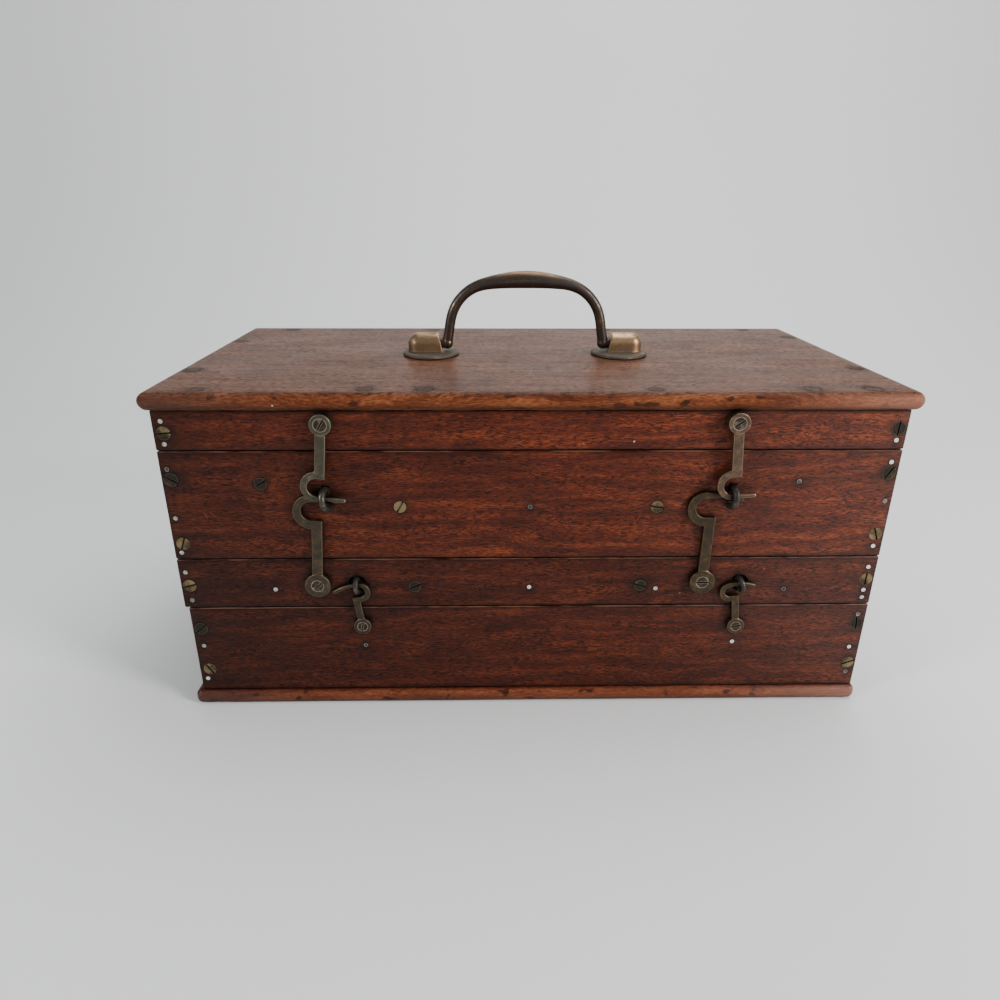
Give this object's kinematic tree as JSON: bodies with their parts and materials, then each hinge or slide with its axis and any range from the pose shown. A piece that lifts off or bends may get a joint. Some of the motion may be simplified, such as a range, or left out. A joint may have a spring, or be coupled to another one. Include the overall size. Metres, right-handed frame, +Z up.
{
  "type": "stacking carpenter toolbox",
  "caption": "Stacking wooden carpenter's box: tray on a nosed base, divided trays and a framed lid, hinged at the back, held shut by cabin hooks and carried by a drop handle.",
  "frame": {"origin": "middle of the base board's underside, where the box stands", "axes": "+X to the right along the box's length seen from the front, -Y out of the front where the hooks are, +Z up"},
  "size_m": [0.381, 0.1993, 0.2284],
  "materials": {
    "case_wood": "worn oil finish",
    "lid_wood": "worn, slightly bleached",
    "nosing_wood": "worn oil finish",
    "inner_wood": "unfinished",
    "plug_wood": "dark",
    "hook_brass": "aged",
    "eye_brass": "aged",
    "screw_brass": "aged",
    "hinge_brass": "aged",
    "handle_brass": "dark bronzed",
    "nail_steel": "bright cut ends",
    "pin_steel": "plain"
  },
  "bodies": {
    "bottom_tray": {"base_board": "nosing_wood", "bottom_front_board": "case_wood", "bottom_back_board": "case_wood", "bottom_left_board": "case_wood", "bottom_right_board": "case_wood", "bottom_corner_screws": "screw_brass", "bottom_nails": "nail_steel", "base_screws": "screw_brass", "small_hook_screws": "screw_brass", "bottom_hinge_leaves": "hinge_brass", "bottom_hinge_screws": "hinge_brass", "bottom_hinge_pins": "pin_steel"},
    "middle_tray": {"middle_front_board": "case_wood", "middle_back_board": "case_wood", "middle_left_board": "case_wood", "middle_right_board": "case_wood", "middle_floor": "inner_wood", "middle_dividers": "inner_wood", "middle_screws": "screw_brass", "middle_nails": "nail_steel", "middle_lower_leaves": "hinge_brass", "middle_upper_leaves": "hinge_brass", "middle_hinge_screws": "hinge_brass", "middle_hinge_pins": "pin_steel", "small_eyes": "eye_brass", "lower_hook_screws": "screw_brass"},
    "upper_tray": {"upper_front_board": "case_wood", "upper_back_board": "case_wood", "upper_left_board": "case_wood", "upper_right_board": "case_wood", "upper_floor": "inner_wood", "upper_dividers": "inner_wood", "upper_screws": "screw_brass", "upper_nails": "nail_steel", "upper_lower_leaves": "hinge_brass", "upper_upper_leaves": "hinge_brass", "upper_hinge_screws": "hinge_brass", "upper_hinge_pins": "pin_steel", "big_eyes": "eye_brass"},
    "lid": {"lid_board": "lid_wood", "lid_front_rail": "case_wood", "lid_back_rail": "case_wood", "lid_left_rail": "case_wood", "lid_right_rail": "case_wood", "lid_corner_screws": "screw_brass", "lid_nails": "nail_steel", "lid_screws": "screw_brass", "lid_plugs": "plug_wood", "upper_hook_screws": "screw_brass", "lid_hinge_leaves": "hinge_brass", "lid_hinge_screws": "hinge_brass", "handle_lugs": "handle_brass", "lug_nuts": "pin_steel"},
    "bail": {"bail_handle": "handle_brass"},
    "upper_left_latch": {"upper_left_hook": "hook_brass"},
    "upper_right_latch": {"upper_right_hook": "hook_brass"},
    "lower_left_latch": {"lower_left_hook": "hook_brass"},
    "lower_right_latch": {"lower_right_hook": "hook_brass"},
    "small_left_latch": {"small_left_hook": "hook_brass"},
    "small_right_latch": {"small_right_hook": "hook_brass"}
  },
  "joints": [
    {"name": "middle_hinge", "type": "hinge", "parent": "bottom_tray", "child": "middle_tray", "pos_m": [0, 0.09425, 0.06215], "axis": [-1, 0, 0], "range_deg": [0, 92]},
    {"name": "upper_hinge", "type": "hinge", "parent": "middle_tray", "child": "upper_tray", "pos_m": [0, 0.09425, 0.09125], "axis": [1, 0, 0], "range_deg": [-92, 0]},
    {"name": "lid_hinge", "type": "hinge", "parent": "upper_tray", "child": "lid", "pos_m": [0, 0.09425, 0.15095], "axis": [-1, 0, 0], "range_deg": [0, 92]},
    {"name": "bail_swing", "type": "hinge", "parent": "lid", "child": "bail", "pos_m": [0, 0, 0.1872], "axis": [1, 0, 0], "range_deg": [-88, 88]},
    {"name": "upper_left_hook_pivot", "type": "hinge", "parent": "lid", "child": "upper_left_latch", "pos_m": [-0.1032, -0.09275, 0.1657], "axis": [0, 1, 0], "range_deg": [0, 75]},
    {"name": "upper_right_hook_pivot", "type": "hinge", "parent": "lid", "child": "upper_right_latch", "pos_m": [0.0997, -0.09275, 0.1662], "axis": [0, 1, 0], "range_deg": [0, 75]},
    {"name": "lower_left_hook_pivot", "type": "hinge", "parent": "middle_tray", "child": "lower_left_latch", "pos_m": [-0.1128, -0.09275, 0.0767], "axis": [0, 1, 0], "range_deg": [-150, 0]},
    {"name": "lower_right_hook_pivot", "type": "hinge", "parent": "middle_tray", "child": "lower_right_latch", "pos_m": [0.0917, -0.09275, 0.0777], "axis": [0, 1, 0], "range_deg": [-150, 0]},
    {"name": "small_left_hook_pivot", "type": "hinge", "parent": "bottom_tray", "child": "small_left_latch", "pos_m": [-0.0907, -0.09275, 0.0516], "axis": [0, 1, 0], "range_deg": [0, 110]},
    {"name": "small_right_hook_pivot", "type": "hinge", "parent": "bottom_tray", "child": "small_right_latch", "pos_m": [0.1131, -0.09275, 0.0503], "axis": [0, -1, 0], "range_deg": [0, 110]}
  ]
}
